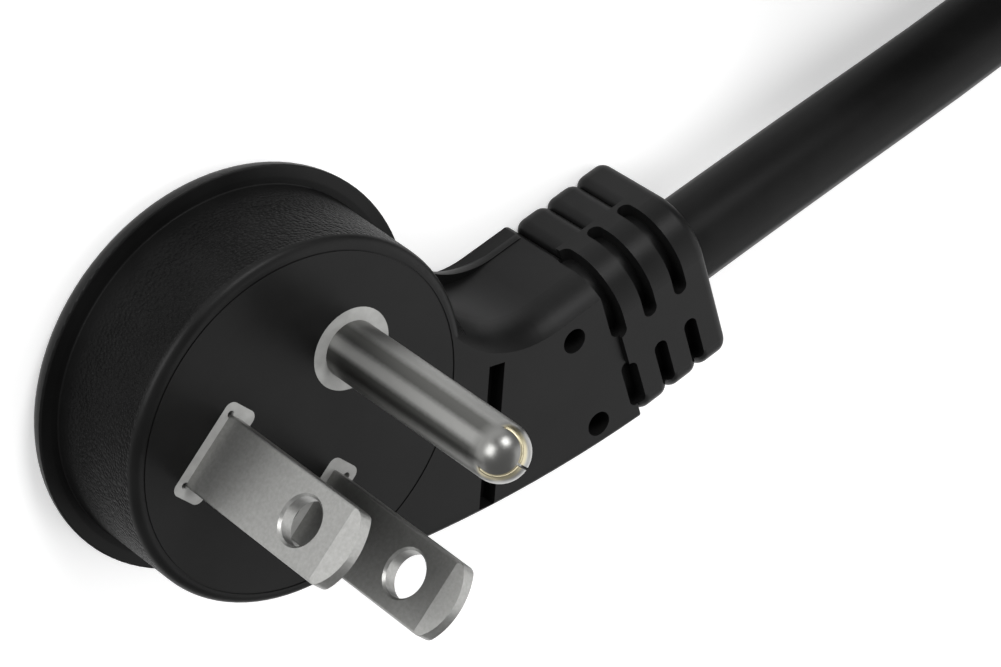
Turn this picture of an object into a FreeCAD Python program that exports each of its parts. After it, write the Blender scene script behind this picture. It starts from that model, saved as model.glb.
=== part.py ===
import FreeCAD, Part
import math
import os

V = FreeCAD.Vector

# Flat angled mains plug with a round body, lying on its back with the pins up.
# The origin is on the back face, at the axis of the round body. +Z runs along the
# pins, +Y from the blades towards the ground pin. Millimetres and degrees.

# Round body
BODY_HEIGHT = 12.0
WALL_RADIUS = 15.5
WALL_DRAFT = 0.15
FLANGE_OVERHANG = 1.65
FLANGE_RIM = 2.2
FLANGE_RIM_ROUND = 0.15
FLANGE_LAND = 0.1
FLANGE_CORNER = 0.12
FACE_EDGE_ROUND = 0.8
FACE_RING_INSET = 1.1
FACE_RING_WIDTH = 0.16
FACE_RING_DEPTH = 0.08

# Neck, measured along and across its own axis from the body's axis
NECK_ANGLE = 30.0
NECK_END = 28.85
NECK_LEFT = 6.65
NECK_RIGHT = 22.3
NECK_BLEND = 8.0
NECK_SHOULDER = 4.0
NECK_CROWN = 0.9
NECK_STEP = 0.08
NECK_END_ROUND = 1.0
NECK_BULGE = 1.6
NECK_START_ANGLE = 25.0
NECK_TUCK = 0.3
NECK_HOLE_FROM_END = 4.1
NECK_HOLE_RADIUS = 1.1
NECK_HOLE_DEPTH = 2.5
NECK_HOLE_SPACING = 9.35
NECK_HOLE_MIDDLE = 14.9
RECESS_ALONG = 15.0
RECESS_ACROSS = 13.3
RECESS_LENGTH = 13.2
RECESS_WIDTH = 1.55
RECESS_DEPTH = 1.5
RECESS_SKEW = 21.5

# Strain relief
RELIEF_AXIS = 14.2
RELIEF_WIDTH = 15.8
RELIEF_PROUD = 0.45
RELIEF_CORNER_BACK = 1.6
RELIEF_CORNER_LEFT = 4.5
RELIEF_CORNER_RIGHT = 2.2
RIB_COUNT = 3
RIB_PITCH = 3.3
RIB_ROUND = 0.95
RELIEF_END_ROUND = 0.9
SLOT_WIDTH = 1.35
SLOT_DEPTH_FACE = 1.6
SLOT_DEPTH_SIDE = 1.2
SLOT_REACH_RIGHT = 5.6
SLOT_LOW = 6.6
WEB_WIDTH = 3.0

# Contacts
BLADE_SPACING = 12.7
BLADE_SETBACK = 5.1
BLADE_WIDTH = 6.35
BLADE_THICKNESS = 1.52
BLADE_LENGTH = 17.4
BLADE_TIP_ARC = 1.2
BLADE_TIP_CORNER = 0.8
BLADE_BEVEL = 1.75
BLADE_TIP_THICKNESS = 0.9
BLADE_EDGE_ROUND = 0.2
BLADE_HOLE_RADIUS = 1.9
BLADE_HOLE_FROM_FACE = 11.8
BLADE_HOLE_CHAMFER = 0.2
GROUND_OFFSET = 11.91
GROUND_RADIUS = 2.38
GROUND_ROOT_RADIUS = 2.2
GROUND_LENGTH = 20.5
PETAL_LEAN = 54.5
PETAL_SPREAD = 50.0
PETAL_START = 0.5
PETAL_GROOVE = 0.16
PETAL_GAP = 0.22
PETAL_DEPTH = 0.5
PETAL_LENGTH = 4.0

# Inner bridge and its collars
BRIDGE_COVER = 2.9
BRIDGE_BASE = 5.6
BRIDGE_THICKNESS = 2.8
COLLAR_LENGTH = 8.3
COLLAR_WIDTH = 3.2
COLLAR_CORNER = 0.7
COLLAR_RADIUS = 3.5
PIT_RADIUS = 0.3
PIT_DEPTH = 0.6

# Crimp tails inside the moulding
TAIL_HEIGHT = 3.2
TAIL_THICKNESS = 0.8
TAIL_WIDTH = 4.0
TAIL_LENGTH = 5.0
BARREL_LENGTH = 4.0
BARREL_RADIUS = 1.7
STRAND_RADIUS = 0.8
STRAND_BARE = 1.2
HOT_HEADING = 64.0
NEUTRAL_HEADING = 55.0
GROUND_HEADING = 80.0
HOT_REACH = 11.0
NEUTRAL_REACH = 3.5
GROUND_REACH = 4.0
CORE_LEAD_IN = 4.0

# Lead
CORD_DIAMETER = 7.6
CORD_HEIGHT = 6.1
JACKET_INSIDE = 4.85
CORD_STRAIGHT_OUT = 6.25
CORD_LAST_RUN = 34.0
CORE_RADIUS = 1.3
CORE_CIRCLE = 1.79

# Coil of the put-away length
COIL_CENTRE = (25.9, 116.2)
COIL_TURN_RADIUS = 45.6
COIL_COLUMNS = 2
COIL_LAYERS = 3
COIL_ENTRY_ANGLE = -24.0
COIL_OPEN_ANGLE = 80.0
COIL_CLEARANCE = 0.2
TIE_THICKNESS = 0.8
TIE_WIDTH = 10.0
TIE_ANGLE = 150.0
LEAD_TIP_LENGTH = 10.0
LEAD_RUNS = (8.0, 20.0, 12.0, 25.0, 27.0)
LEAD_FAN = 3.8

# Worked out from the sizes above
CORD_RADIUS = CORD_DIAMETER / 2
FACE = BODY_HEIGHT
WALL_FOOT_RADIUS = WALL_RADIUS + WALL_DRAFT
FLANGE_RADIUS = WALL_FOOT_RADIUS + FLANGE_OVERHANG
FLANGE_BACK_ROUND = FLANGE_RIM - FLANGE_RIM_ROUND - FLANGE_LAND
FACE_RING_RADIUS = WALL_RADIUS - FACE_RING_INSET
BRIDGE_RADIUS = WALL_RADIUS - BRIDGE_COVER
BLADE_TIP = FACE + BLADE_LENGTH
GROUND_TIP = FACE + GROUND_LENGTH
GROUND_NOSE = GROUND_TIP - GROUND_RADIUS
GROUND_Y = GROUND_OFFSET - BLADE_SETBACK
RELIEF_TOP = BODY_HEIGHT + RELIEF_PROUD
RELIEF_END = NECK_END + RIB_COUNT * RIB_PITCH
RELIEF_HALF = RELIEF_WIDTH / 2
NECK_HOLE_ALONG = NECK_END - NECK_HOLE_FROM_END
JACKET_START = NECK_END - JACKET_INSIDE
CORD_STRAIGHT_END = RELIEF_END + CORD_STRAIGHT_OUT
STRAND_HEIGHT = TAIL_HEIGHT + TAIL_THICKNESS / 2
COIL_INNER = COIL_TURN_RADIUS - COIL_COLUMNS * CORD_RADIUS
COIL_OUTER = COIL_TURN_RADIUS + COIL_COLUMNS * CORD_RADIUS
COIL_BASE = TIE_THICKNESS
COIL_TOP = COIL_BASE + COIL_LAYERS * CORD_DIAMETER
COIL_AXIS = V(COIL_CENTRE[0], COIL_CENTRE[1], 0)
UP = V(0, 0, 1)


def turned(angle):
    """Unit vector in the floor plane, at an angle from +Y towards +X."""
    return V(math.sin(math.radians(angle)), math.cos(math.radians(angle)), 0)


ALONG = turned(NECK_ANGLE)
ACROSS = turned(NECK_ANGLE + 90)


def neck_point(along, across, height):
    """Point given along and across the neck's axis."""
    return ALONG * along + ACROSS * across + UP * height


def line(start, end):
    return Part.LineSegment(start, end).toShape()


def arc(start, middle, end):
    return Part.Arc(start, middle, end).toShape()


def round_corner(start, corner, end):
    """Quarter curve from start to end that leaves out the corner."""
    share = 1 - math.sqrt(0.5)
    middle = corner + (start - corner) * share + (end - corner) * share
    return arc(start, middle, end)


def rounded_face(origin, across, up, left, right, low, high, corners):
    """Rectangle in the plane of two directions, with four corner radii from low left round by low right."""
    def at(x, y):
        return origin + across * x + up * y

    a, b, c, d = corners
    edges = [
        line(at(left + a, low), at(right - b, low)),
        round_corner(at(right - b, low), at(right, low), at(right, low + b)),
        line(at(right, low + b), at(right, high - c)),
        round_corner(at(right, high - c), at(right, high), at(right - c, high)),
        line(at(right - c, high), at(left + d, high)),
        round_corner(at(left + d, high), at(left, high), at(left, high - d)),
        line(at(left, high - d), at(left, low + a)),
        round_corner(at(left, low + a), at(left, low), at(left + a, low)),
    ]
    return Part.Face(Part.Wire(edges))


def edges_between(shape, points):
    """Edges of a shape whose two ends are both among the given points."""
    def listed(vertex):
        return any(vertex.Point.distanceToPoint(p) < 0.001 for p in points)

    return [e for e in shape.Edges if len(e.Vertexes) == 2 and all(map(listed, e.Vertexes))]


def route_wire(points):
    """Straight runs joined by tangent arcs as large as the runs allow, and their radii."""
    edges = []
    radii = []
    start = points[0]
    for before, corner, after in zip(points, points[1:], points[2:]):
        back = (before - corner).normalize()
        ahead = (after - corner).normalize()
        half_turn = (math.pi - back.getAngle(ahead)) / 2
        cut = 0.45 * min(before.distanceToPoint(corner), after.distanceToPoint(corner))
        radius = cut / math.tan(half_turn)
        inward = (back + ahead).normalize()
        middle = corner + inward * (radius / math.cos(half_turn) - radius)
        edges.append(line(start, corner + back * cut))
        edges.append(arc(corner + back * cut, middle, corner + ahead * cut))
        radii.append(radius)
        start = corner + ahead * cut
    edges.append(line(start, points[-1]))
    return Part.Wire(edges), radii


def tube(points, radius):
    """Round tube along a route."""
    path, radii = route_wire(points)
    heading = points[1] - points[0]
    ring = Part.Wire(Part.makeCircle(radius, points[0], heading))
    solid = path.makePipeShell([ring], True, True)
    return solid, path.Length, radii


# Overmould
def round_body():
    """Flange, wall and face of the round body, turned about its axis."""
    back = FLANGE_RADIUS - FLANGE_BACK_ROUND
    rim = FLANGE_RADIUS - FLANGE_RIM_ROUND
    rim_top = FLANGE_RIM - FLANGE_RIM_ROUND
    foot = WALL_FOOT_RADIUS + FLANGE_CORNER
    wall_foot = V(WALL_FOOT_RADIUS, 0, FLANGE_RIM)
    wall_top = FACE - FACE_EDGE_ROUND
    face_edge = WALL_RADIUS - FACE_EDGE_ROUND
    edges = [
        line(V(0, 0, 0), V(back, 0, 0)),
        round_corner(V(back, 0, 0), V(FLANGE_RADIUS, 0, 0), V(FLANGE_RADIUS, 0, FLANGE_BACK_ROUND)),
        line(V(FLANGE_RADIUS, 0, FLANGE_BACK_ROUND), V(FLANGE_RADIUS, 0, rim_top)),
        round_corner(V(FLANGE_RADIUS, 0, rim_top), V(FLANGE_RADIUS, 0, FLANGE_RIM), V(rim, 0, FLANGE_RIM)),
        line(V(rim, 0, FLANGE_RIM), V(foot, 0, FLANGE_RIM)),
        round_corner(V(foot, 0, FLANGE_RIM), wall_foot, wall_foot + UP * FLANGE_CORNER),
        line(wall_foot + UP * FLANGE_CORNER, V(WALL_RADIUS, 0, wall_top)),
        round_corner(V(WALL_RADIUS, 0, wall_top), V(WALL_RADIUS, 0, FACE), V(face_edge, 0, FACE)),
        line(V(face_edge, 0, FACE), V(0, 0, FACE)),
        line(V(0, 0, FACE), V(0, 0, 0)),
    ]
    return Part.Face(Part.Wire(edges)).revolve(V(0, 0, 0), UP, 360)


def neck_plan(body_radius, inset):
    """Outline of the neck whose left side blends into a circle of the round body, and its corner points."""
    left = NECK_LEFT + inset
    blend = NECK_BLEND + inset
    centre_across = NECK_LEFT - NECK_BLEND
    reach = body_radius + NECK_BLEND
    centre_along = math.sqrt(reach**2 - centre_across**2)
    centre = neck_point(centre_along, centre_across, 0)
    left_end = neck_point(NECK_END, left, 0)
    blend_end = neck_point(centre_along, left, 0)
    blend_start = centre * (1 - blend / reach)
    to_middle = ((blend_end - centre).normalize() + (blend_start - centre).normalize()).normalize()
    start = math.radians(NECK_START_ANGLE)
    tuck = WALL_RADIUS - NECK_TUCK - inset
    right_start = neck_point(-tuck * math.sin(start), tuck * math.cos(start), 0)
    right_end = neck_point(NECK_END, NECK_RIGHT - inset, 0)
    chord = (right_end - right_start).normalize()
    right_middle = (right_start + right_end) / 2 + chord.cross(UP) * NECK_BULGE
    edges = [
        line(left_end, blend_end),
        arc(blend_end, centre + to_middle * blend, blend_start),
        line(blend_start, V(0, 0, 0)),
        line(V(0, 0, 0), right_start),
        arc(right_start, right_middle, right_end),
        line(right_end, left_end),
    ]
    return Part.Face(Part.Wire(edges)), [left_end, blend_end, blend_start], [right_start, right_end]


def neck_block():
    """Neck with a high shoulder on its left, cut off flat at the face."""
    plan, left, right = neck_plan(WALL_FOOT_RADIUS, NECK_STEP)
    crown = FACE + NECK_CROWN
    solid = plan.extrude(UP * crown)
    solid = solid.makeFillet(NECK_SHOULDER, edges_between(solid, [p + UP * crown for p in left]))
    solid = solid.cut(Part.makeCylinder(2 * NECK_END, 2 * NECK_CROWN, UP * FACE))
    return solid.makeFillet(FACE_EDGE_ROUND, edges_between(solid, [p + UP * FACE for p in right]))


def neck_foot():
    """Low foot that carries the flange's rim on along the neck."""
    plan, left, _ = neck_plan(FLANGE_RADIUS, 0)
    solid = plan.extrude(UP * FLANGE_RIM)
    return solid.makeFillet(FLANGE_BACK_ROUND, edges_between(solid, left))


def neck():
    """Block and foot, with the left corner of the far end rounded off."""
    size = 2 * NECK_END_ROUND
    corner = neck_point(NECK_END - NECK_END_ROUND, NECK_LEFT + NECK_END_ROUND, 0)
    ends = [(0, 0), (size, 0), (size, -size), (0, -size)]
    points = [corner + ALONG * a + ACROSS * w for a, w in ends]
    square = Part.Face(Part.makePolygon(points + points[:1])).extrude(UP * FACE)
    waste = square.cut(Part.makeCylinder(NECK_END_ROUND, FACE, corner))
    return neck_block().fuse(neck_foot()).cut(waste)


def relief_slab(start, end, side=0, face=0):
    """Slab of the strain relief's section between two places along the neck, set in on its sides and face."""
    origin = neck_point(start, RELIEF_AXIS, 0)
    half = RELIEF_HALF - side
    back = RELIEF_CORNER_BACK
    corners = [back, back, RELIEF_CORNER_RIGHT - side, RELIEF_CORNER_LEFT - side]
    section = rounded_face(origin, ACROSS, UP, -half, half, 0, RELIEF_TOP - face, corners)
    return section.extrude(ALONG * (end - start))


def relief_box(start, end, left, right, low, high):
    """Square block in the neck's directions, measured across from the lead's axis."""
    origin = neck_point(start, RELIEF_AXIS, 0)
    points = [origin + ACROSS * w + UP * z for w, z in ((left, low), (right, low), (right, high), (left, high))]
    return Part.Face(Part.makePolygon(points + points[:1])).extrude(ALONG * (end - start))


def relief_rib(number):
    """One rib, as wide as the pitch and with well rounded edges, so that ribs meet in grooves."""
    start = NECK_END + number * RIB_PITCH
    end = start + RIB_PITCH
    end_round = RELIEF_END_ROUND if number == RIB_COUNT - 1 else RIB_ROUND
    slab = relief_slab(start, end)
    for along, radius in ((start, RIB_ROUND), (end, end_round)):
        on_plane = [v.Point for v in slab.Vertexes if abs(v.Point.dot(ALONG) - along) < 0.001]
        slab = slab.makeFillet(radius, edges_between(slab, on_plane))
    return slab


def relief_front():
    """Smooth part of the strain relief's face and left shoulder, without grooves."""
    end = RELIEF_END - RELIEF_END_ROUND
    region = relief_box(NECK_END, end, -RELIEF_WIDTH, SLOT_REACH_RIGHT, CORD_HEIGHT, RELIEF_TOP)
    return relief_slab(NECK_END, end).common(region)


def relief_slots(number):
    """Two slots with round ends: one from the left side on to the face, one on the face's right."""
    middle = NECK_END + number * RIB_PITCH
    half = SLOT_WIDTH / 2
    web = WEB_WIDTH / 2 + half
    floor = RELIEF_TOP - SLOT_DEPTH_FACE
    outside = 2 * RELIEF_WIDTH
    core = relief_slab(middle - half, middle + half, SLOT_DEPTH_SIDE, SLOT_DEPTH_FACE)
    left = relief_box(middle - half, middle + half, -outside, -web, SLOT_LOW + half, outside).cut(core)
    right = relief_box(middle - half, middle + half, web, SLOT_REACH_RIGHT, floor, outside)
    ends = []
    for across in (-web, web, SLOT_REACH_RIGHT):
        ends.append(Part.makeCylinder(half, outside, neck_point(middle, RELIEF_AXIS + across, floor)))
    inside = RELIEF_AXIS - RELIEF_HALF + SLOT_DEPTH_SIDE
    ends.append(Part.makeCylinder(half, outside, neck_point(middle, inside, SLOT_LOW + half), ACROSS * -1))
    return [left, right] + ends


def strain_relief():
    """Ribs with a smooth face, before the slots are cut."""
    relief = relief_front()
    for number in range(RIB_COUNT):
        relief = relief.fuse(relief_rib(number))
    return relief


def face_ring():
    """Fine groove round the front face."""
    floor = UP * (FACE - FACE_RING_DEPTH)
    outer = Part.makeCylinder(FACE_RING_RADIUS + FACE_RING_WIDTH / 2, FACE_RING_DEPTH, floor)
    return outer.cut(Part.makeCylinder(FACE_RING_RADIUS - FACE_RING_WIDTH / 2, FACE_RING_DEPTH, floor))


def neck_recess():
    """Long narrow pocket in the neck's face, set askew."""
    centre = neck_point(RECESS_ALONG, RECESS_ACROSS, FACE - RECESS_DEPTH)
    short = turned(NECK_ANGLE + RECESS_SKEW)
    long = turned(NECK_ANGLE + RECESS_SKEW + 90)
    corners = [(-0.5, -0.5), (0.5, -0.5), (0.5, 0.5), (-0.5, 0.5)]
    points = [centre + long * (RECESS_LENGTH * x) + short * (RECESS_WIDTH * y) for x, y in corners]
    return Part.Face(Part.makePolygon(points + points[:1])).extrude(UP * (RECESS_DEPTH + RELIEF_PROUD))


def neck_holes():
    """Two blind core-pin holes in the neck's face, either side of the lead."""
    sides = (NECK_HOLE_MIDDLE - NECK_HOLE_SPACING / 2, NECK_HOLE_MIDDLE + NECK_HOLE_SPACING / 2)
    floor = FACE - NECK_HOLE_DEPTH
    places = [neck_point(NECK_HOLE_ALONG, across, floor) for across in sides]
    return [Part.makeCylinder(NECK_HOLE_RADIUS, NECK_HOLE_DEPTH, place) for place in places]


def overmould(inner_pieces):
    """The whole black moulding, hollow where the inner pieces lie."""
    outside = round_body().fuse(neck()).fuse(strain_relief()).removeSplitter()
    for number in range(RIB_COUNT):
        outside = outside.cut(relief_slots(number))
    return outside.cut([face_ring(), neck_recess()] + neck_holes() + collar_pits() + inner_pieces)


# Contacts
def crimp_tail(root, heading):
    """Flat tail and crimp barrel that carry a contact on to its strands."""
    ahead = turned(heading)
    aside = turned(heading + 90) * (TAIL_WIDTH / 2)
    base = root + UP * TAIL_HEIGHT
    end = base + ahead * TAIL_LENGTH
    points = [base - aside, base + aside, end + aside, end - aside]
    plate = Part.Face(Part.makePolygon(points + points[:1])).extrude(UP * TAIL_THICKNESS)
    seat = root + UP * STRAND_HEIGHT + ahead * TAIL_LENGTH
    barrel = Part.makeCylinder(BARREL_RADIUS, BARREL_LENGTH, seat, ahead)
    bore = Part.makeCylinder(STRAND_RADIUS, BARREL_LENGTH, seat, ahead)
    return plate.fuse(barrel).cut(bore)


def blade(side, heading):
    """Plated blade with an arched, bevelled tip, a hole and a crimp tail."""
    half_width = BLADE_WIDTH / 2
    half = BLADE_THICKNESS / 2
    half_tip = BLADE_TIP_THICKNESS / 2
    shoulder = BLADE_TIP - BLADE_TIP_ARC
    bevel = BLADE_TIP - BLADE_BEVEL
    root = V(side * BLADE_SPACING / 2, -BLADE_SETBACK, 0)
    front = [
        line(V(-half, -half_width, TAIL_HEIGHT), V(-half, half_width, TAIL_HEIGHT)),
        line(V(-half, half_width, TAIL_HEIGHT), V(-half, half_width, shoulder)),
        arc(V(-half, half_width, shoulder), V(-half, 0, BLADE_TIP), V(-half, -half_width, shoulder)),
        line(V(-half, -half_width, shoulder), V(-half, -half_width, TAIL_HEIGHT)),
    ]
    strip = Part.Face(Part.Wire(front)).extrude(V(BLADE_THICKNESS, 0, 0))
    corners = [V(x, y, shoulder) for x in (-half, half) for y in (-half_width, half_width)]
    level = [e for e in edges_between(strip, corners) if abs(e.tangentAt(e.FirstParameter).x) > 0.999]
    strip = strip.makeFillet(BLADE_TIP_CORNER, level)
    upright = [e for e in strip.Edges if abs(e.tangentAt(e.FirstParameter).z) > 0.999]
    strip = strip.makeFillet(BLADE_EDGE_ROUND, upright)
    taper = [
        (-half, TAIL_HEIGHT), (half, TAIL_HEIGHT), (half, bevel),
        (half_tip, BLADE_TIP), (-half_tip, BLADE_TIP), (-half, bevel),
    ]
    points = [V(x, -half_width, z) for x, z in taper]
    strip = strip.common(Part.Face(Part.makePolygon(points + points[:1])).extrude(V(0, BLADE_WIDTH, 0)))
    hole_height = FACE + BLADE_HOLE_FROM_FACE
    hole = Part.makeCylinder(BLADE_HOLE_RADIUS, BLADE_THICKNESS, V(-half, 0, hole_height), V(1, 0, 0))
    strip = strip.cut(hole)
    for x, direction in ((-half, 1), (half, -1)):
        wide = BLADE_HOLE_RADIUS + BLADE_HOLE_CHAMFER
        mouth = V(x, 0, hole_height)
        strip = strip.cut(Part.makeCone(wide, BLADE_HOLE_RADIUS, BLADE_HOLE_CHAMFER, mouth, V(direction, 0, 0)))
    strip.translate(root)
    return strip.fuse(crimp_tail(root, heading)).removeSplitter()


def petal_seam():
    """Round groove along the edge of the front petal of the pin's tip."""
    lean = math.radians(PETAL_LEAN)
    spread = math.radians(PETAL_SPREAD)
    axis = V(-math.sin(lean), 0, math.cos(lean))
    centre = UP * GROUND_NOSE
    middle = centre + axis * (GROUND_RADIUS * math.cos(spread))
    ring = Part.makeTorus(GROUND_RADIUS * math.sin(spread), PETAL_GROOVE, middle, axis)
    above = Part.makeCylinder(2 * GROUND_RADIUS, 2 * GROUND_RADIUS, centre + UP * PETAL_START)
    return ring.common(above)


def petal_split():
    """Gap between the two petals behind the seam, down the far side of the pin."""
    base = GROUND_TIP - PETAL_LENGTH
    start = GROUND_RADIUS * math.sin(math.radians(PETAL_SPREAD - PETAL_LEAN))
    inside = GROUND_RADIUS - PETAL_DEPTH
    gap = Part.makeBox(2 * GROUND_RADIUS, PETAL_GAP, PETAL_LENGTH, V(start, -PETAL_GAP / 2, base))
    kept = Part.makeCylinder(inside, GROUND_NOSE - base, UP * base)
    return gap.cut(kept.fuse(Part.makeSphere(inside, UP * GROUND_NOSE)))


def ground_pin():
    """Rolled round pin whose domed tip is closed by petals."""
    root = V(0, GROUND_Y, 0)
    crown = V(GROUND_RADIUS * math.sqrt(0.5), 0, GROUND_NOSE + GROUND_RADIUS * math.sqrt(0.5))
    edges = [
        line(V(0, 0, TAIL_HEIGHT), V(GROUND_ROOT_RADIUS, 0, TAIL_HEIGHT)),
        line(V(GROUND_ROOT_RADIUS, 0, TAIL_HEIGHT), V(GROUND_ROOT_RADIUS, 0, FACE)),
        line(V(GROUND_ROOT_RADIUS, 0, FACE), V(GROUND_RADIUS, 0, FACE)),
        line(V(GROUND_RADIUS, 0, FACE), V(GROUND_RADIUS, 0, GROUND_NOSE)),
        arc(V(GROUND_RADIUS, 0, GROUND_NOSE), crown, V(0, 0, GROUND_TIP)),
        line(V(0, 0, GROUND_TIP), V(0, 0, TAIL_HEIGHT)),
    ]
    pin = Part.Face(Part.Wire(edges)).revolve(V(0, 0, 0), UP, 360).cut([petal_seam(), petal_split()])
    pin.translate(root)
    return pin.fuse(crimp_tail(root, GROUND_HEADING)).removeSplitter()


def collar_pits():
    """Small flash pits at the outer corners of the blades."""
    pits = []
    for side in (-1, 1):
        outer = side * (BLADE_SPACING + BLADE_THICKNESS) / 2
        for end in (-1, 1):
            corner = V(outer, end * BLADE_WIDTH / 2 - BLADE_SETBACK, FACE - PIT_DEPTH)
            pits.append(Part.makeCylinder(PIT_RADIUS, PIT_DEPTH, corner))
    return pits


def inner_bridge(contacts):
    """Insert that holds the contacts, with a collar round each up to the face."""
    top = BRIDGE_BASE + BRIDGE_THICKNESS
    half_width = COLLAR_WIDTH / 2
    half_length = COLLAR_LENGTH / 2
    bridge = Part.makeCylinder(BRIDGE_RADIUS, BRIDGE_THICKNESS, UP * BRIDGE_BASE)
    for side in (-1, 1):
        centre = V(side * BLADE_SPACING / 2, -BLADE_SETBACK, top)
        collar = rounded_face(
            centre, V(1, 0, 0), V(0, 1, 0), -half_width, half_width,
            -half_length, half_length, [COLLAR_CORNER] * 4,
        )
        bridge = bridge.fuse(collar.extrude(UP * (FACE - top)))
    bridge = bridge.fuse(Part.makeCylinder(COLLAR_RADIUS, FACE - top, V(0, GROUND_Y, top)))
    return bridge.cut(collar_pits() + contacts)


# Conductors inside the moulding
def core_seat(turn):
    """Place of one core on the jacket's end face, at an angle round the lead's axis."""
    across = RELIEF_AXIS + CORE_CIRCLE * math.sin(math.radians(turn))
    return neck_point(JACKET_START, across, CORD_HEIGHT + CORE_CIRCLE * math.cos(math.radians(turn)))


def conductor(root, heading, reach, turn):
    """Insulated core from its crimp to the jacket, and the bare strands at its end."""
    ahead = turned(heading)
    barrel = root + UP * STRAND_HEIGHT + ahead * TAIL_LENGTH
    start = barrel + ahead * (BARREL_LENGTH + STRAND_BARE)
    seat = core_seat(turn)
    core, _, _ = tube([start, start + ahead * reach, seat - ALONG * CORE_LEAD_IN, seat], CORE_RADIUS)
    strands = Part.makeCylinder(STRAND_RADIUS, BARREL_LENGTH + STRAND_BARE, barrel, ahead)
    return core, strands


# Lead, coil and far end
def coil_place(angle, radius, height):
    """Point of the coil at an angle, a radius and a height."""
    turn = math.radians(angle)
    return COIL_AXIS + V(radius * math.cos(turn), radius * math.sin(turn), height)


def coil_sector(section, start, sweep):
    """Section of the coil turned through an angle about the coil's axis."""
    piece = section.revolve(COIL_AXIS, UP, sweep)
    piece.rotate(COIL_AXIS, UP, start)
    return piece


def coil_section(grow):
    """Section round all the turns, grown by a thickness."""
    return rounded_face(
        COIL_AXIS, V(1, 0, 0), UP, COIL_INNER - grow, COIL_OUTER + grow,
        COIL_BASE - grow, COIL_TOP + grow, [CORD_RADIUS + grow] * 4,
    )


def turn_gap(inner, start):
    """Place in the lowest layer that one turn leaves free."""
    corners = [(inner, 0), (inner + CORD_DIAMETER, 0)]
    low = [COIL_AXIS + V(r, 0, z) for r, z in corners]
    high = [p + UP * (COIL_BASE + CORD_DIAMETER + COIL_CLEARANCE) for p in reversed(low)]
    return coil_sector(Part.Face(Part.makePolygon(low + high + low[:1])), start, COIL_OPEN_ANGLE)


def cord_coil():
    """Outer shape of the coil, open where the lead comes in and where it ends."""
    ring = coil_section(0).revolve(COIL_AXIS, UP, 360)
    way_in = turn_gap(COIL_OUTER - CORD_DIAMETER, COIL_ENTRY_ANGLE - COIL_OPEN_ANGLE)
    way_out = turn_gap(COIL_INNER, COIL_ENTRY_ANGLE - COIL_OPEN_ANGLE)
    return ring.cut([way_in, way_out])


def coil_tie():
    """Strap round the section of the coil."""
    band = coil_section(TIE_THICKNESS).cut(coil_section(0))
    sweep = math.degrees(TIE_WIDTH / COIL_TURN_RADIUS)
    return coil_sector(band, TIE_ANGLE, sweep)


def far_lead(offset, turn):
    """One lead from the jacket's far end into the middle of the coil, and its bare tip."""
    angle = COIL_ENTRY_ANGLE - COIL_OPEN_ANGLE
    end = coil_place(angle, COIL_INNER + CORD_RADIUS, COIL_BASE + CORD_RADIUS)
    ahead = turned(-angle)
    inward = turned(-angle - 90)
    lean = CORE_CIRCLE * math.sin(math.radians(turn))
    lift = CORE_CIRCLE * math.cos(math.radians(turn))
    floor = UP * (CORE_RADIUS - end.z)
    start = end + inward * lean + UP * lift
    fan = offset * LEAD_FAN
    points = [
        start,
        start + ahead * LEAD_RUNS[0],
        end + ahead * (LEAD_RUNS[1] - fan) + inward * (LEAD_RUNS[2] + fan) + floor,
        end + ahead * (LEAD_RUNS[3] - fan) + inward * LEAD_RUNS[4] + floor,
    ]
    lead, _, _ = tube(points, CORE_RADIUS)
    heading = (points[3] - points[2]).normalize()
    tip = Part.makeCylinder(STRAND_RADIUS, LEAD_TIP_LENGTH, points[3], heading)
    return lead, tip


def cord_route():
    """Route of the lead from inside the strain relief to the first turn of the coil."""
    entry = coil_place(COIL_ENTRY_ANGLE, COIL_OUTER - CORD_RADIUS, COIL_BASE + CORD_RADIUS)
    return [
        neck_point(JACKET_START, RELIEF_AXIS, CORD_HEIGHT),
        neck_point(CORD_STRAIGHT_END, RELIEF_AXIS, CORD_HEIGHT),
        entry - turned(-COIL_ENTRY_ANGLE) * CORD_LAST_RUN,
        entry,
    ]


def build():
    """All pieces of the plug by node name."""
    blade_root = V(BLADE_SPACING / 2, -BLADE_SETBACK, 0)
    hot_root = V(-blade_root.x, blade_root.y, 0)
    cores = {
        "hot": conductor(hot_root, HOT_HEADING, HOT_REACH, 0),
        "neutral": conductor(blade_root, NEUTRAL_HEADING, NEUTRAL_REACH, 120),
        "ground": conductor(V(0, GROUND_Y, 0), GROUND_HEADING, GROUND_REACH, -120),
    }
    leads = {"hot": far_lead(0, 0), "neutral": far_lead(1, 120), "ground": far_lead(-1, -120)}
    contacts = {
        "hot_blade": blade(-1, HOT_HEADING),
        "neutral_blade": blade(1, NEUTRAL_HEADING),
        "ground_pin": ground_pin(),
    }
    run, length, radii = tube(cord_route(), CORD_RADIUS)
    print("cord radii", [round(r, 1) for r in radii])
    print("cord volume over section times length", round(run.Volume / (math.pi * CORD_RADIUS**2 * length), 4))
    bridge = inner_bridge(list(contacts.values()))
    inner = [bridge, run] + list(contacts.values())
    for core, strands in cores.values():
        inner += [core, strands]
    pieces = {"overmould": overmould(inner), "inner_bridge": bridge}
    pieces.update(contacts)
    for name, (core, strands) in cores.items():
        pieces[name + "_core"] = core
        pieces[name + "_strands"] = strands
    pieces.update({"cord_run": run, "cord_coil": cord_coil(), "coil_tie": coil_tie()})
    for name, (lead, tip) in leads.items():
        pieces[name + "_lead"] = lead
        pieces[name + "_tip"] = tip
    return pieces


def main():
    os.makedirs("parts", exist_ok=True)
    for name, shape in build().items():
        print(name, "solids", len(shape.Solids), "valid", shape.isValid(), "volume", round(shape.Volume, 1))
        shape.exportStep("parts/" + name + ".step")


main()
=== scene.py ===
"""Studio scene of a flat angled mains plug that lies on its back, with its lead put away in a coil."""

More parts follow.
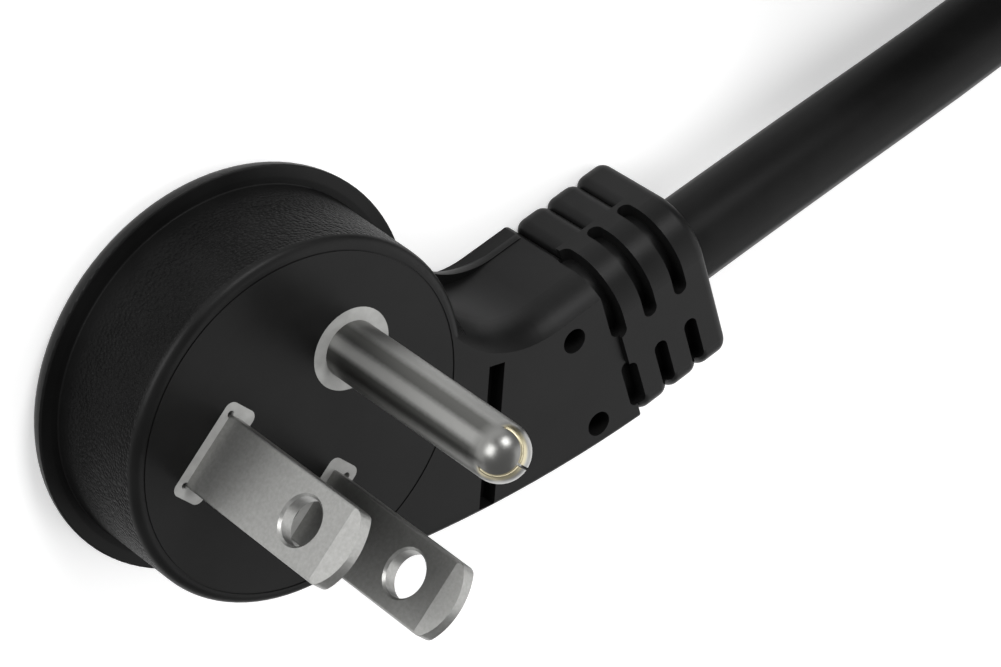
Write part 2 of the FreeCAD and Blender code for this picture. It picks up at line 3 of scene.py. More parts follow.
import logging
import math
from dataclasses import dataclass, field
from enum import Enum

import bpy
from mathutils import Matrix, Vector


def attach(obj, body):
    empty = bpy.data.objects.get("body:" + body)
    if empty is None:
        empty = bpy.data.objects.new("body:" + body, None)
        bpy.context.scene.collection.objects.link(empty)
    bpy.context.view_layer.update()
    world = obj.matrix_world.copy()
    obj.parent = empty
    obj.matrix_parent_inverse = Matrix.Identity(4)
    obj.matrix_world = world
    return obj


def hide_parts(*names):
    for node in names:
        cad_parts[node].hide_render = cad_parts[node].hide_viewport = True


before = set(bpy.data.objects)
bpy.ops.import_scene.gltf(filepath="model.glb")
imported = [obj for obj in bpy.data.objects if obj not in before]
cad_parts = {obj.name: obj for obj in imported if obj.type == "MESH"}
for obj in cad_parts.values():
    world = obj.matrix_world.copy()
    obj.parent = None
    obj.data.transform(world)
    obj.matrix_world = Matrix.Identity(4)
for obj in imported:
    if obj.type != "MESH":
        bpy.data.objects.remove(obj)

LOG = logging.getLogger("plug")
MM = 0.001
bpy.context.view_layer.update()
WHITE = (1.0, 1.0, 1.0, 1.0)
# Numbers of the Mix node's two inputs and its output, for plain values and for colours.
MIX_A, MIX_B, MIX_OUT = 2, 3, 0
TINT_A, TINT_B, TINT_OUT = 6, 7, 2

Colour = tuple[float, float, float, float]
Tree = bpy.types.NodeTree
Socket = bpy.types.NodeSocket


class Slot(Enum):
    """Material slot names of the record."""

    JACKET = "jacket_pvc"


def linear(code: str) -> Colour:
    """Turns an sRGB hex value into linear colour.

    Args:
        code: Six hex digits with a leading hash.

    Returns:
        Linear red, green, blue and an alpha of one.
    """
    parts = [int(code[i : i + 2], 16) / 255 for i in (1, 3, 5)]
    red, green, blue = (c / 12.92 if c <= 0.04045 else ((c + 0.055) / 1.055) ** 2.4 for c in parts)
    return red, green, blue, 1.0


def set_inputs(tree: Tree, node: bpy.types.Node, values: dict) -> None:
    """Links or sets inputs of a node.

    Args:
        tree: Node tree that holds the node.
        node: Node whose inputs are set.
        values: Input name or number to an output socket, or to a plain value.
    """
    for name, value in values.items():
        if isinstance(value, Socket):
            tree.links.new(value, node.inputs[name])
        else:
            node.inputs[name].default_value = value


def add_node(tree: Tree, kind: str, values: dict | None = None, **settings: object) -> bpy.types.Node:
    """Adds a node with its settings and links.

    Args:
        tree: Node tree that gets the node.
        kind: Blender's type name of the node.
        values: Input name or number to an output socket, or to a plain value.
        **settings: Properties of the node itself. Stops are the two places and colours of a ramp.

    Returns:
        The new node.
    """
    node = tree.nodes.new(kind)
    for name, value in settings.items():
        if name == "stops":
            for element, stop in zip(node.color_ramp.elements, value):
                element.position, element.color = stop
        else:
            setattr(node, name, value)
    set_inputs(tree, node, values or {})
    return node


def new_tree(name: str) -> tuple[bpy.types.Material, Tree, bpy.types.Node, Socket]:
    """Starts a material with a Principled shader and Object coordinates.

    Args:
        name: Name of the material.

    Returns:
        The material, its node tree, its shader and the Object coordinate output.
    """
    material = bpy.data.materials.new(name)
    material.use_nodes = True
    tree = material.node_tree
    shader = tree.nodes["Principled BSDF"]
    place = add_node(tree, "ShaderNodeTexCoord").outputs["Object"]
    return material, tree, shader, place


def repeats(size_mm: float) -> float:
    """Texture scale whose grain is about the given size in millimetres."""
    return 1.0 / (size_mm * MM)


@dataclass(frozen=True)
class Finish:
    """What every finish has: a name, and two tones that a pattern mixes."""

    name: str
    dark: str
    light: str
    spread: tuple[float, float] = (0.35, 0.65)

    def tones(self) -> list[tuple[float, Colour]]:
        """Stops of the ramp between the two tones."""
        return list(zip(self.spread, (linear(self.dark), linear(self.light))))


@dataclass(frozen=True)
class MouldedPvc(Finish):
    """Black PVC from a spark-eroded mould: satin face, pebble grain on the round wall."""

    name: str = "moulded_black_pvc"
    dark: str = "#101010"
    light: str = "#161616"
    roughness: tuple[float, float] = (0.34, 0.46)
    specular: float = 0.12
    wall_specular: float = 0.036
    cloud_mm: float = 6.0
    # A real satin grain is finer: this one is as coarse as it needs to be to show.
    fine_mm: float = 0.16
    fine_depth_mm: float = 0.02
    fine_strength: float = 0.25
    pebble_mm: float = 0.28
    pebble_depth_mm: float = 0.17
    wall_inner_mm: float = 15.2
    wall_outer_mm: float = 16.2
    wall_foot_mm: tuple[float, float] = (2.1, 2.3)
    grain_foot_mm: tuple[float, float] = (2.8, 5.5)
    wall_top_mm: float = 11.2
    side_fade_mm: float = 0.15
    top_fade_mm: float = 0.3

    def wall_mask(self, tree: Tree, place: Socket, foot: tuple[float, float]) -> Socket:
        """Mask of a band on the round wall.

        Args:
            tree: Node tree of the material.
            place: Object coordinates.
            foot: Heights in millimetres between which the band fades in.

        Returns:
            Socket that is one on the band and zero elsewhere.
        """
        axes = add_node(tree, "ShaderNodeSeparateXYZ", {"Vector": place}).outputs
        flat = add_node(tree, "ShaderNodeCombineXYZ", {"X": axes["X"], "Y": axes["Y"]}).outputs["Vector"]
        radius = add_node(tree, "ShaderNodeVectorMath", {0: flat}, operation="LENGTH").outputs["Value"]
        limits = (
            (radius, self.wall_inner_mm, self.wall_inner_mm + self.side_fade_mm),
            (radius, self.wall_outer_mm + self.side_fade_mm, self.wall_outer_mm),
            (axes["Z"], *foot),
            (axes["Z"], self.wall_top_mm + self.top_fade_mm, self.wall_top_mm),
        )
        mask = None
        for source, low, high in limits:
            values = {"Value": source, "From Min": low * MM, "From Max": high * MM}
            value = add_node(tree, "ShaderNodeMapRange", values).outputs["Result"]
            if mask is not None:
                values = {0: mask, 1: value}
                value = add_node(tree, "ShaderNodeMath", values, operation="MULTIPLY").outputs["Value"]
            mask = value
        return mask

    def make(self) -> bpy.types.Material:
        """Builds the material.

        Returns:
            The finished material.
        """
        material, tree, shader, place = new_tree(self.name)
        values = {"Vector": place, "Scale": repeats(self.cloud_mm), "Detail": 4.0}
        cloud = add_node(tree, "ShaderNodeTexNoise", values).outputs["Fac"]
        values = {"Vector": place, "Scale": repeats(self.fine_mm), "Detail": 2.0}
        fine = add_node(tree, "ShaderNodeTexNoise", values).outputs["Fac"]
        values = {"Vector": place, "Scale": repeats(self.pebble_mm)}
        pebble = add_node(tree, "ShaderNodeTexVoronoi", values).outputs["Distance"]
        wall = self.wall_mask(tree, place, self.wall_foot_mm)
        grained = self.wall_mask(tree, place, self.grain_foot_mm)
        tint = add_node(tree, "ShaderNodeValToRGB", {"Fac": cloud}, stops=self.tones())
        low, high = self.roughness
        gloss = add_node(tree, "ShaderNodeMapRange", {"Value": cloud, "To Min": low, "To Max": high})
        values = {"Height": fine, "Strength": self.fine_strength, "Distance": self.fine_depth_mm * MM}
        satin = add_node(tree, "ShaderNodeBump", values).outputs["Normal"]
        values = {"Height": pebble, "Strength": grained, "Distance": self.pebble_depth_mm * MM}
        grain = add_node(tree, "ShaderNodeBump", {**values, "Normal": satin}, invert=True)
        values = {"Value": wall, "To Min": self.specular, "To Max": self.wall_specular}
        sheen = add_node(tree, "ShaderNodeMapRange", values)
        set_inputs(
            tree,
            shader,
            {
                "Base Color": tint.outputs["Color"],
                "Roughness": gloss.outputs["Result"],
                "Normal": grain.outputs["Normal"],
                "Specular IOR Level": sheen.outputs["Result"],
            },
        )
        return material


@dataclass(frozen=True)
class ExtrudedPvc(Finish):
    """Black PVC jacket from an extruder: a fine even grain and a soft satin gloss."""

    name: str = "extruded_black_pvc"
    dark: str = "#121212"
    light: str = "#1a1a1a"
    roughness: tuple[float, float] = (0.38, 0.46)
    specular: float = 0.07
    cloud_mm: float = 9.0
    grain_mm: float = 0.3
    grain_depth_mm: float = 0.02
    grain_strength: float = 0.2

    def make(self) -> bpy.types.Material:
        """Builds the material.

        Returns:
            The finished material.
        """
        material, tree, shader, place = new_tree(self.name)
        values = {"Vector": place, "Scale": repeats(self.cloud_mm), "Detail": 5.0}
        cloud = add_node(tree, "ShaderNodeTexNoise", values).outputs["Fac"]
        values = {"Vector": place, "Scale": repeats(self.grain_mm), "Detail": 2.0}
        grain = add_node(tree, "ShaderNodeTexNoise", values).outputs["Fac"]
        tint = add_node(tree, "ShaderNodeValToRGB", {"Fac": cloud}, stops=self.tones())
        low, high = self.roughness
        gloss = add_node(tree, "ShaderNodeMapRange", {"Value": cloud, "To Min": low, "To Max": high})
        values = {"Height": grain, "Strength": self.grain_strength, "Distance": self.grain_depth_mm * MM}
        bump = add_node(tree, "ShaderNodeBump", values)
        set_inputs(
            tree,
            shader,
            {
                "Base Color": tint.outputs["Color"],
                "Roughness": gloss.outputs["Result"],
                "Normal": bump.outputs["Normal"],
                "Specular IOR Level": self.specular,
            },
        )
        return material


@dataclass(frozen=True)
class MouldedNylon(Finish):
    """Pale grey nylon of the insert: matt, a little uneven in tone."""

    name: str = "moulded_pale_nylon"
    dark: str = "#9a9a98"
    light: str = "#a8a8a6"
    roughness: float = 0.55
    cloud_mm: float = 1.2
    cloud_depth_mm: float = 0.03
    cloud_strength: float = 0.2

    def make(self) -> bpy.types.Material:
        """Builds the material.

        Returns:
            The finished material.
        """
        material, tree, shader, place = new_tree(self.name)
        values = {"Vector": place, "Scale": repeats(self.cloud_mm), "Detail": 4.0}
        cloud = add_node(tree, "ShaderNodeTexNoise", values).outputs["Fac"]
        tint = add_node(tree, "ShaderNodeValToRGB", {"Fac": cloud}, stops=self.tones()).outputs["Color"]
        values = {"Height": cloud, "Strength": self.cloud_strength, "Distance": self.cloud_depth_mm * MM}
        bump = add_node(tree, "ShaderNodeBump", values).outputs["Normal"]
        set_inputs(tree, shader, {"Base Color": tint, "Normal": bump, "Roughness": self.roughness})
        return material


@dataclass(frozen=True)
class NickelPlate(Finish):
    """Nickel plate over brass, brushed across the contact so that highlights run along it."""

    name: str = "brushed_nickel_plate"
    dark: str = "#8a8a88"
    light: str = "#989896"
    spread: tuple[float, float] = (0.25, 0.75)
    roughness: tuple[float, float] = (0.35, 0.42)
    brushed: float = 0.3
    # Real brushing is finer: these lines are as coarse as they need to be to show.
    line_mm: float = 0.12
    line_stretch: tuple[float, float, float] = (0.06, 0.06, 1.0)
    line_depth_mm: float = 0.01
    line_strength: float = 0.1
    cloud_mm: float = 0.3

    def tone(self, tree: Tree, place: Socket) -> Socket:
        """Pattern of dark and light places in the plate.

        Args:
            tree: Node tree of the material.
            place: Object coordinates.

        Returns:
            Socket from zero, dark, to one, light.
        """
        values = {"Vector": place, "Scale": repeats(self.cloud_mm), "Detail": 3.0}
        return add_node(tree, "ShaderNodeTexNoise", values).outputs["Fac"]

    def shade(self) -> tuple[bpy.types.Material, Tree, bpy.types.Node, Socket]:
        """Builds the brushed metal.

        Returns:
            The material, its node tree, its shader and the Object coordinate output.
        """
        material, tree, shader, place = new_tree(self.name)
        across = add_node(tree, "ShaderNodeMapping", {"Vector": place, "Scale": self.line_stretch})
        values = {"Vector": across.outputs["Vector"], "Scale": repeats(self.line_mm), "Detail": 3.0}
        lines = add_node(tree, "ShaderNodeTexNoise", values).outputs["Fac"]
        tint = add_node(tree, "ShaderNodeValToRGB", {"Fac": self.tone(tree, place)}, stops=self.tones())
        low, high = self.roughness
        gloss = add_node(tree, "ShaderNodeMapRange", {"Value": lines, "To Min": low, "To Max": high})
        values = {"Height": lines, "Strength": self.line_strength, "Distance": self.line_depth_mm * MM}
        bump = add_node(tree, "ShaderNodeBump", values)
        upright = add_node(tree, "ShaderNodeCombineXYZ", {"Z": 1.0})
        set_inputs(
            tree,
            shader,
            {
                "Base Color": tint.outputs["Color"],
                "Roughness": gloss.outputs["Result"],
                "Normal": bump.outputs["Normal"],
                "Tangent": upright.outputs["Vector"],
                "Anisotropic": self.brushed,
                "Metallic": 1.0,
            },
        )
        return material, tree, shader, place

    def make(self) -> bpy.types.Material:
        """Builds the material.

        Returns:
            The finished material.
        """
        return self.shade()[0]


@dataclass(frozen=True)
class RolledNickel(NickelPlate):
    """Plate of the rolled pin: painted reflection bands along the shank, an even nose, bare brass on the
    petals' edges.
    """

    name: str = "rolled_nickel_plate"
    # The two tones of the painted reflection bands on the shank.
    dark: str = "#565654"
    light: str = "#8c8c8a"
    roughness: tuple[float, float] = (0.36, 0.42)
    brushed: float = 0.7
    # Width and offset of the painted reflection bands across the shank.
    reflection_band_mm: float = 2.2
    reflection_band_shift_mm: float = 0.12
    cloud_share: float = 0.15
    brass: str = "#b4ac92"
    edge: str = "#9c9c9a"
    nose_tint: str = "#767674"
    polish: float = 0.32
    nose_mm: tuple[float, float, float] = (0.0, 6.81, 30.12)
    nose_fade_mm: tuple[float, float] = (-0.8, 0.4)
    petal_fade_mm: tuple[float, float] = (0.2, 0.6)
    petal_axis: tuple[float, float, float] = (-0.814, 0.0, 0.581)
    petal_edge_mm: float = 1.53
    edge_fade_mm: tuple[float, float] = (0.02, -0.04)
    brass_edge_mm: float = 1.1
    brass_fade_mm: tuple[float, float] = (-0.2, 0.1)

    def tone(self, tree: Tree, place: Socket) -> Socket:
        """Painted reflection bands along the shank, with a little cloud in them.

        Args:
            tree: Node tree of the material.
            place: Object coordinates.

        Returns:
            Socket from zero, dark, to one, light.
        """
        cloud = super().tone(tree, place)
        across = add_node(tree, "ShaderNodeSeparateXYZ", {"Vector": place}).outputs["Y"]
        wave = across
        for operation, *other in (
            ("SUBTRACT", (self.nose_mm[1] - self.reflection_band_shift_mm) * MM),
            ("MULTIPLY", math.tau / (self.reflection_band_mm * MM)),
            ("COSINE",),
        ):
            values = dict(enumerate((wave, *other)))
            wave = add_node(tree, "ShaderNodeMath", values, operation=operation).outputs["Value"]
        # Painted reflection: light and dark bands across the shank stand in for its reflections.
        painted_reflection = add_node(tree, "ShaderNodeMapRange", {"Value": wave, "From Min": -1.0}).outputs["Result"]
        values = {"Factor": self.cloud_share, MIX_A: painted_reflection, MIX_B: cloud}
        return add_node(tree, "ShaderNodeMix", values).outputs[MIX_OUT]

    def make(self) -> bpy.types.Material:
        """Builds the material.

        Returns:
            The finished material.
        """
        material, tree, shader, place = self.shade()
        height = add_node(tree, "ShaderNodeSeparateXYZ", {"Vector": place}).outputs["Z"]
        centre = tuple(value * MM for value in self.nose_mm)
        offset = add_node(tree, "ShaderNodeVectorMath", {0: place, 1: centre}, operation="SUBTRACT")
        values = {0: offset.outputs["Vector"], 1: self.petal_axis}
        depth = add_node(tree, "ShaderNodeVectorMath", values, operation="DOT_PRODUCT").outputs["Value"]
        fades = []
        for source, middle, (low, high) in (
            (height, self.nose_mm[2], self.nose_fade_mm),
            (height, self.nose_mm[2], self.petal_fade_mm),
            (depth, self.petal_edge_mm, self.edge_fade_mm),
            (depth, self.brass_edge_mm, self.brass_fade_mm),
        ):
            values = {"Value": source, "From Min": (middle + low) * MM, "From Max": (middle + high) * MM}
            fades.append(add_node(tree, "ShaderNodeMapRange", values).outputs["Result"])
        nose, above, behind, bare = fades
        values = {0: behind, 1: above}
        lips = add_node(tree, "ShaderNodeMath", values, operation="MULTIPLY").outputs["Value"]
        stops = [(0.0, linear(self.edge)), (1.0, linear(self.brass))]
        metal = add_node(tree, "ShaderNodeValToRGB", {"Fac": bare}, stops=stops).outputs["Color"]
        tint = shader.inputs["Base Color"].links[0].from_socket
        for factor, colour in ((nose, linear(self.nose_tint)), (lips, metal)):
            values = {"Factor": factor, TINT_A: tint, TINT_B: colour}
            tint = add_node(tree, "ShaderNodeMix", values, data_type="RGBA").outputs[TINT_OUT]
        gloss = shader.inputs["Roughness"].links[0].from_socket
        polished = add_node(tree, "ShaderNodeMix", {"Factor": nose, MIX_A: gloss, MIX_B: self.polish})
        grip = add_node(tree, "ShaderNodeMapRange", {"Value": nose, "To Min": self.brushed, "To Max": 0.0})
        set_inputs(
            tree,
            shader,
            {
                "Base Color": tint,
                "Roughness": polished.outputs[MIX_OUT],
                "Anisotropic": grip.outputs["Result"],
            },
        )
        return material


@dataclass(frozen=True)
class WirePvc(Finish):
    """Coloured PVC round a single conductor: smooth and a little glossy."""

    spread: tuple[float, float] = (0.3, 0.7)
    roughness: float = 0.35
    cloud_mm: float = 3.0

    def make(self) -> bpy.types.Material:
        """Builds the material.

        Returns:
            The finished material.
        """
        material, tree, shader, place = new_tree(self.name)
        values = {"Vector": place, "Scale": repeats(self.cloud_mm), "Detail": 3.0}
        cloud = add_node(tree, "ShaderNodeTexNoise", values).outputs["Fac"]
        tint = add_node(tree, "ShaderNodeValToRGB", {"Fac": cloud}, stops=self.tones()).outputs["Color"]
        set_inputs(tree, shader, {"Base Color": tint, "Roughness": self.roughness})
        return material


@dataclass(frozen=True)
class WireStrands(Finish):
    """Stranded conductor: twisted wires, with painted highlights along slanting lines and painted shade
    between them.
    """

    spread: tuple[float, float] = (0.2, 0.8)
    roughness: float = 0.3
    # Size of the wave texture. Its lines lie about 3 mm apart along an axis: real strands are finer
    # and wouldn't show.
    wave_mm: float = 5.0
    distortion: float = 0.6
    line_depth_mm: float = 0.08
    line_strength: float = 0.6

    def make(self) -> bpy.types.Material:
        """Builds the material.

        Returns:
            The finished material.
        """
        material, tree, shader, place = new_tree(self.name)
        values = {"Vector": place, "Scale": repeats(self.wave_mm), "Distortion": self.distortion}
        lines = add_node(tree, "ShaderNodeTexWave", values, bands_direction="DIAGONAL").outputs["Fac"]
        # Painted highlight and shade: the wave's light lines stand for lit strands and its dark lines for
        # the shade between them.
        tint = add_node(tree, "ShaderNodeValToRGB", {"Fac": lines}, stops=self.tones())
        values = {"Height": lines, "Strength": self.line_strength, "Distance": self.line_depth_mm * MM}
        bump = add_node(tree, "ShaderNodeBump", values)
        set_inputs(
            tree,
            shader,
            {
                "Base Color": tint.outputs["Color"],
                "Normal": bump.outputs["Normal"],
                "Metallic": 1.0,
                "Roughness": self.roughness,
            },
        )
        return material


@dataclass(frozen=True)
class WovenStrap(Finish):
    """Black hook-and-loop strap: short nylon loops that make it dull and fuzzy."""

    name: str = "woven_nylon_strap"
    # Light is the loops' middles; dark is the painted shade in the gaps between them.
    dark: str = "#121212"
    light: str = "#262626"
    spread: tuple[float, float] = (0.1, 0.7)
    roughness: float = 0.85
    sheen: float = 0.3
    loop_mm: float = 0.6
    loop_depth_mm: float = 0.2
    loop_strength: float = 0.8

    def tones(self) -> list[tuple[float, Colour]]:
        """Stops of the ramp: the middles of the loops are light and the gaps dark, which is painted shade
        between the loops.
        """
        return list(zip(self.spread, (linear(self.light), linear(self.dark))))

    def make(self) -> bpy.types.Material:
        """Builds the material.

        Returns:
            The finished material.
        """
        material, tree, shader, place = new_tree(self.name)
        values = {"Vector": place, "Scale": repeats(self.loop_mm)}
        loops = add_node(tree, "ShaderNodeTexVoronoi", values).outputs["Distance"]
        # Painted shade: the ramp darkens the gaps between the loops.
        tint = add_node(tree, "ShaderNodeValToRGB", {"Fac": loops}, stops=self.tones())
        values = {"Height": loops, "Strength": self.loop_strength, "Distance": self.loop_depth_mm * MM}
        bump = add_node(tree, "ShaderNodeBump", values, invert=True)
        set_inputs(
            tree,
            shader,
            {
                "Base Color": tint.outputs["Color"],
                "Normal": bump.outputs["Normal"],
                "Roughness": self.roughness,
                "Sheen Weight": self.sheen,
            },
        )
        return material


def dress(node: str, finish: bpy.types.Material) -> None:
    """Gives a CAD node a material.

    Args:
        node: Name of the CAD node.
        finish: Material for all of it.
    """
    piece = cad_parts[node]
    piece.data.materials.clear()
    piece.data.materials.append(finish)
    LOG.info("dressed %s in %s", node, finish.name)


@dataclass
class PlugBody:
    """The black moulding and the pale insert that shows in its face."""

    moulding: MouldedPvc = field(default_factory=MouldedPvc)
    insert: MouldedNylon = field(default_factory=MouldedNylon)

    def dress(self) -> None:
        """Gives both pieces their plastics."""
        dress("overmould", self.moulding.make())
        dress("inner_bridge", self.insert.make())


@dataclass
class Contacts:
    """Blades and ground pin."""

    plating: NickelPlate = field(default_factory=NickelPlate)
    rolled: RolledNickel = field(default_factory=RolledNickel)

    def dress(self) -> None:
        """Gives the contacts their plating."""
        metal = self.plating.make()
        for node in ("hot_blade", "neutral_blade"):
            dress(node, metal)
        dress("ground_pin", self.rolled.make())


@dataclass
class Lead:
    """Round lead from the strain relief to its coil, with the pieces at its far end."""

    diameter_mm: float = 7.6
    length_m: float = 1.8
    height_mm: float = 6.1
    neck_angle_deg: float = 30.0
    neck_offset_mm: float = 14.2
    jacket_start_mm: float = 24.0
    straight_end_mm: float = 45.0
    last_run_mm: float = 34.0
    coil_centre_mm: tuple[float, float] = (25.9, 116.2)
    coil_radius_mm: float = 45.6
    coil_base_mm: float = 0.8
    entry_deg: float = -24.0
    step_sector_deg: float = 80.0
    # Parts of the step sector in which a turn climbs, crosses to the inner column or comes down.
    climb: tuple[float, float] = (0.4, 1.0)
    cross: tuple[float, float] = (0.1, 1.0)
    drop: tuple[float, float] = (0.0, 0.8)
    layers: int = 3
    points_per_turn: int = 36
    crossing_rise_mm: float = 1.5
    spline_order: int = 3
    path_steps: int = 6
    round_steps: int = 6
    jacket: ExtrudedPvc = field(default_factory=ExtrudedPvc)

    def neck_point(self, along: float) -> Vector:
        """Point on the lead's axis at a distance along the neck.

        Args:
            along: Distance from the body's axis in millimetres.

        Returns:
            The point in millimetres.
        """
        turn = math.radians(self.neck_angle_deg)
        ahead = Vector((math.sin(turn), math.cos(turn), 0))
        across = Vector((math.cos(turn), -math.sin(turn), 0))
        return ahead * along + across * self.neck_offset_mm + Vector((0, 0, self.height_mm))

    def coil_point(self, angle: float, radius: float, height: float) -> Vector:
        """Point of the coil in millimetres.

        Args:
            angle: Angle round the coil's axis in degrees.
            radius: Distance from the coil's axis.
            height: Height above the floor.

        Returns:
            The point in millimetres.
        """
        turn = math.radians(angle)
        centre_x, centre_y = self.coil_centre_mm
        return Vector((centre_x + radius * math.cos(turn), centre_y + radius * math.sin(turn), height))

    @staticmethod
    def ease(value: float, start: float, end: float) -> float:
        """Smooth step from zero at start to one at end."""
        share = min(1.0, max(0.0, (value - start) / (end - start)))
        return share * share * (3 - 2 * share)

    def turn_place(self, turn: int, share: float) -> tuple[float, float]:
        """Radius and height of one place in the coil's step sector or before it.

        Args:
            turn: Number of the turn: the outer column climbs, then the inner one comes down.
            share: Place in the step sector from zero to one, negative before it.

        Returns:
            Radius and height in millimetres.
        """
        width = self.diameter_mm
        radius = self.coil_radius_mm + width / 2
        base = self.coil_base_mm + width / 2
        if turn < self.layers - 1:
            return radius, base + width * (turn + self.ease(share, *self.climb))
        if turn == self.layers - 1:
            crossed = self.ease(share, *self.cross)
            lift = self.crossing_rise_mm * math.sin(math.pi * crossed) ** 2
            return radius - width * crossed, base + width * turn + lift
        level = 2 * self.layers - 1 - turn
        lowered = self.ease(share, *self.drop) if level > 0 else 0.0
        return radius - width, base + width * (level - lowered)

    def route(self) -> list[Vector]:
        """Control points of the whole lead in millimetres.

        Returns:
            Points from inside the strain relief to the jacket's far end.
        """
        entry = self.coil_point(self.entry_deg, *self.turn_place(0, -1.0))
        turn = math.radians(-self.entry_deg)
        bend = entry - Vector((math.sin(turn), math.cos(turn), 0)) * self.last_run_mm
        points = [self.neck_point(self.jacket_start_mm), self.neck_point(self.straight_end_mm), bend]
        step = 360 / self.points_per_turn
        turns = 2 * self.layers
        last = turns * 360 - self.step_sector_deg
        for number in range(int(last / step) + 1):
            angle = number * step
            share = (angle % 360 - (360 - self.step_sector_deg)) / self.step_sector_deg
            radius, height = self.turn_place(int(angle // 360), share)
            points.append(self.coil_point(self.entry_deg + angle, radius, height))
        return points

    def draw(self, points: list[Vector]) -> bpy.types.Object:
        """Draws the jacket as one smooth round spline.

        Args:
            points: Control points in millimetres.

        Returns:
            The curve object.
        """
        curve = bpy.data.curves.new("lead_jacket", "CURVE")
        curve.dimensions = "3D"
        spline = curve.splines.new("NURBS")
        spline.points.add(len(points) - 1)
        for target, point in zip(spline.points, points):
            target.co = (*(point * MM), 1.0)
        spline.order_u = self.spline_order
        spline.use_endpoint_u = True
        spline.resolution_u = self.path_steps
        curve.bevel_depth = self.diameter_mm * MM / 2
        curve.bevel_resolution = self.round_steps
        curve.use_fill_caps = True
        lead = bpy.data.objects.new("lead_jacket", curve)
        bpy.context.collection.objects.link(lead)
        lead.data.materials.append(self.jacket.make())
        return lead

    def build(self) -> None:
        """Builds the lead, hangs it on the root body and hides the CAD lead."""
        points = self.route()
        lead = self.draw(points)
        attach(lead, "root")
        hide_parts("cord_run", "cord_coil")
        LOG.info("built lead_jacket of %d points", len(points))

    def dress(self) -> None:
        """Gives the strap, the wires and the bare strands their materials."""
        dress("coil_tie", WovenStrap().make())
        wires = {
            "hot": WirePvc("black_wire_pvc", "#141414", "#1c1c1c"),
            "neutral": WirePvc("white_wire_pvc", "#dededa", "#eeeeea"),
            "ground": WirePvc("green_wire_pvc", "#1d6b35", "#258044"),
        }
        # In each pair, the dark tone is painted shade between strands and the light tone is painted
        # highlight on them.
        copper = WireStrands("bare_copper_strands", "#a8694b", "#d99a78").make()
        tinned = WireStrands("tinned_copper_strands", "#a8a8a6", "#d8d8d6").make()
        for name, finish in wires.items():
            plastic = finish.make()
            dress(name + "_core", plastic)
            dress(name + "_lead", plastic)
            dress(name + "_strands", copper)
            dress(name + "_tip", tinned)


@dataclass(frozen=True)
class SoftBox:
    """One studio lamp that faces the middle of the plug."""

    name: str
    place_m: tuple[float, float, float]
    size_m: float
    power_w: float
    target_m: tuple[float, float, float] = (0.0, 0.0, 0.02)

    def add(self) -> None:
        """Adds the lamp to the scene."""
        data = bpy.data.lights.new(self.name, "AREA")
        data.size = self.size_m
        data.energy = self.power_w
        lamp = bpy.data.objects.new(self.name, data)
        bpy.context.collection.objects.link(lamp)
        lamp.location = self.place_m
        heading = Vector(self.target_m) - Vector(self.place_m)
        lamp.rotation_euler = heading.to_track_quat("-Z", "Y").to_euler()
        LOG.info("added lamp %s", self.name)


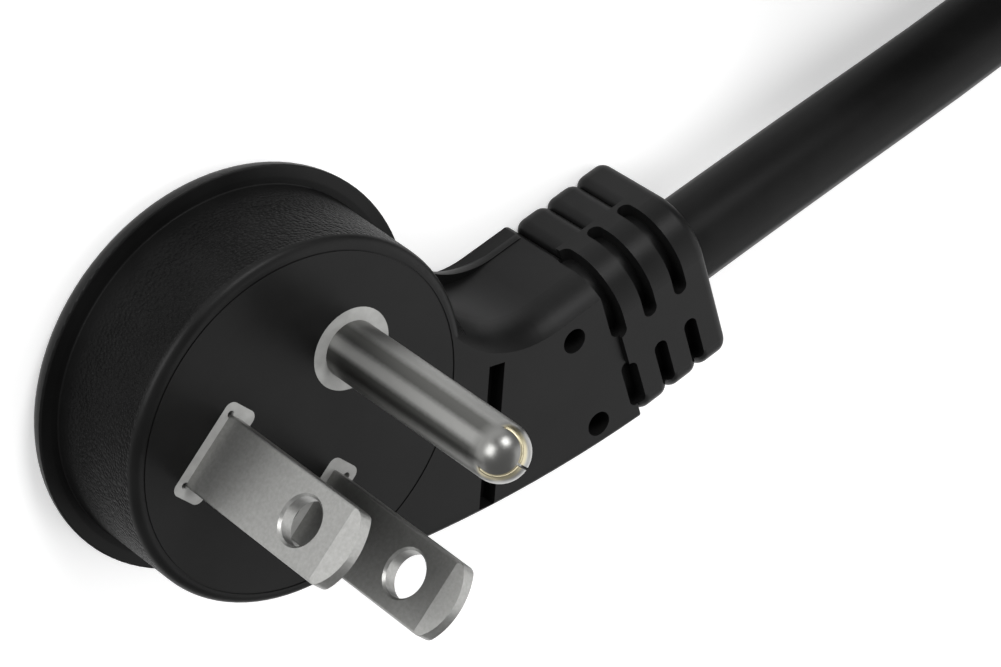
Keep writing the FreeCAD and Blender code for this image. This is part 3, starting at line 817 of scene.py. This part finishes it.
@dataclass
class Studio:
    """Floor, backdrop light, lamps and camera."""

    floor_size_m: float = 4.0
    floor_white: float = 0.9
    floor_roughness: float = 0.9
    floor_glow: float = 0.4
    sky_front: float = 0.35
    sky_behind: float = 0.4
    lens_mm: float = 125.87
    sensor_mm: float = 36.0
    clip_m: float = 0.01
    camera_m: tuple[float, float, float] = (-0.190845, 0.017715, 0.196877)
    right: tuple[float, float, float] = (0.57163, 0.53804, 0.61947)
    down: tuple[float, float, float] = (0.35219, -0.84279, 0.40701)
    ahead: tuple[float, float, float] = (0.74108, -0.01448, -0.67126)
    lamps: tuple[SoftBox, ...] = (
        SoftBox("key", (-0.54, 0.69, 0.5), 0.4, 5.5),
        SoftBox("fill", (-0.97, -0.2, 0.17), 0.6, 8.0),
        SoftBox("back", (0.62, 0.36, 0.67), 1.2, 6.5),
    )

    @staticmethod
    def seen_white(tree: Tree) -> Socket:
        """Factor that is one for rays that look at the background, in metal too.

        Args:
            tree: Node tree that gets the nodes.

        Returns:
            The factor's socket.
        """
        rays = add_node(tree, "ShaderNodeLightPath").outputs
        seen = rays["Is Camera Ray"]
        for kind in ("Is Glossy Ray", "Is Transmission Ray"):
            values = {0: seen, 1: rays[kind]}
            seen = add_node(tree, "ShaderNodeMath", values, operation="MAXIMUM").outputs["Value"]
        return seen

    def add_world(self) -> None:
        """Makes a soft surround, a little paler behind the object than in front of it."""
        world = bpy.data.worlds.new("soft_surround")
        world.use_nodes = True
        bpy.context.scene.world = world
        tree = world.node_tree
        heading = add_node(tree, "ShaderNodeTexCoord").outputs["Generated"]
        across = add_node(tree, "ShaderNodeSeparateXYZ", {"Vector": heading}).outputs["X"]
        values = {"Value": across, "From Min": -1.0, "To Min": self.sky_front, "To Max": self.sky_behind}
        level = add_node(tree, "ShaderNodeMapRange", values).outputs["Result"]
        set_inputs(tree, tree.nodes["Background"], {"Color": WHITE, "Strength": level})

    def add_floor(self) -> None:
        """Lays the pale floor that takes the object's shadow."""
        bpy.ops.object.select_all(action="DESELECT")
        bpy.ops.mesh.primitive_plane_add(size=self.floor_size_m, location=(0, 0, 0))
        floor = bpy.context.object
        floor.name = "studio_floor"
        material, tree, shader, _ = new_tree("pale_floor")
        colour = (self.floor_white, self.floor_white, self.floor_white, 1.0)
        values = {"Base Color": colour, "Roughness": self.floor_roughness, "Specular IOR Level": 0.0}
        set_inputs(tree, shader, values)
        values = {0: self.seen_white(tree), 1: self.floor_glow}
        level = add_node(tree, "ShaderNodeMath", values, operation="MULTIPLY").outputs["Value"]
        glow = add_node(tree, "ShaderNodeEmission", {"Color": WHITE, "Strength": level})
        values = {0: shader.outputs["BSDF"], 1: glow.outputs["Emission"]}
        both = add_node(tree, "ShaderNodeAddShader", values)
        set_inputs(tree, tree.nodes["Material Output"], {"Surface": both.outputs["Shader"]})
        floor.data.materials.append(material)

    def add_camera(self) -> None:
        """Places the camera at the photograph's viewing angle."""
        data = bpy.data.cameras.new("studio_camera")
        data.sensor_width = self.sensor_mm
        data.lens = self.lens_mm
        data.clip_start = self.clip_m
        camera = bpy.data.objects.new("studio_camera", data)
        bpy.context.collection.objects.link(camera)
        axes = (Vector(self.right), -Vector(self.down), -Vector(self.ahead))
        turn = Matrix(axes).transposed().to_4x4()
        camera.matrix_world = Matrix.Translation(Vector(self.camera_m)) @ turn
        bpy.context.scene.camera = camera

    def build(self) -> None:
        """Sets up the whole studio."""
        bpy.context.scene.view_settings.view_transform = "Standard"
        self.add_camera()
        self.add_world()
        self.add_floor()
        for lamp in self.lamps:
            lamp.add()


def main() -> None:
    """Builds the studio, the lead and the dressed plug."""
    logging.basicConfig(level=logging.INFO, format="%(name)s %(message)s")
    Studio().build()
    lead = Lead()
    lead.build()
    lead.dress()
    PlugBody().dress()
    Contacts().dress()


if __name__ == "__main__":
    main()
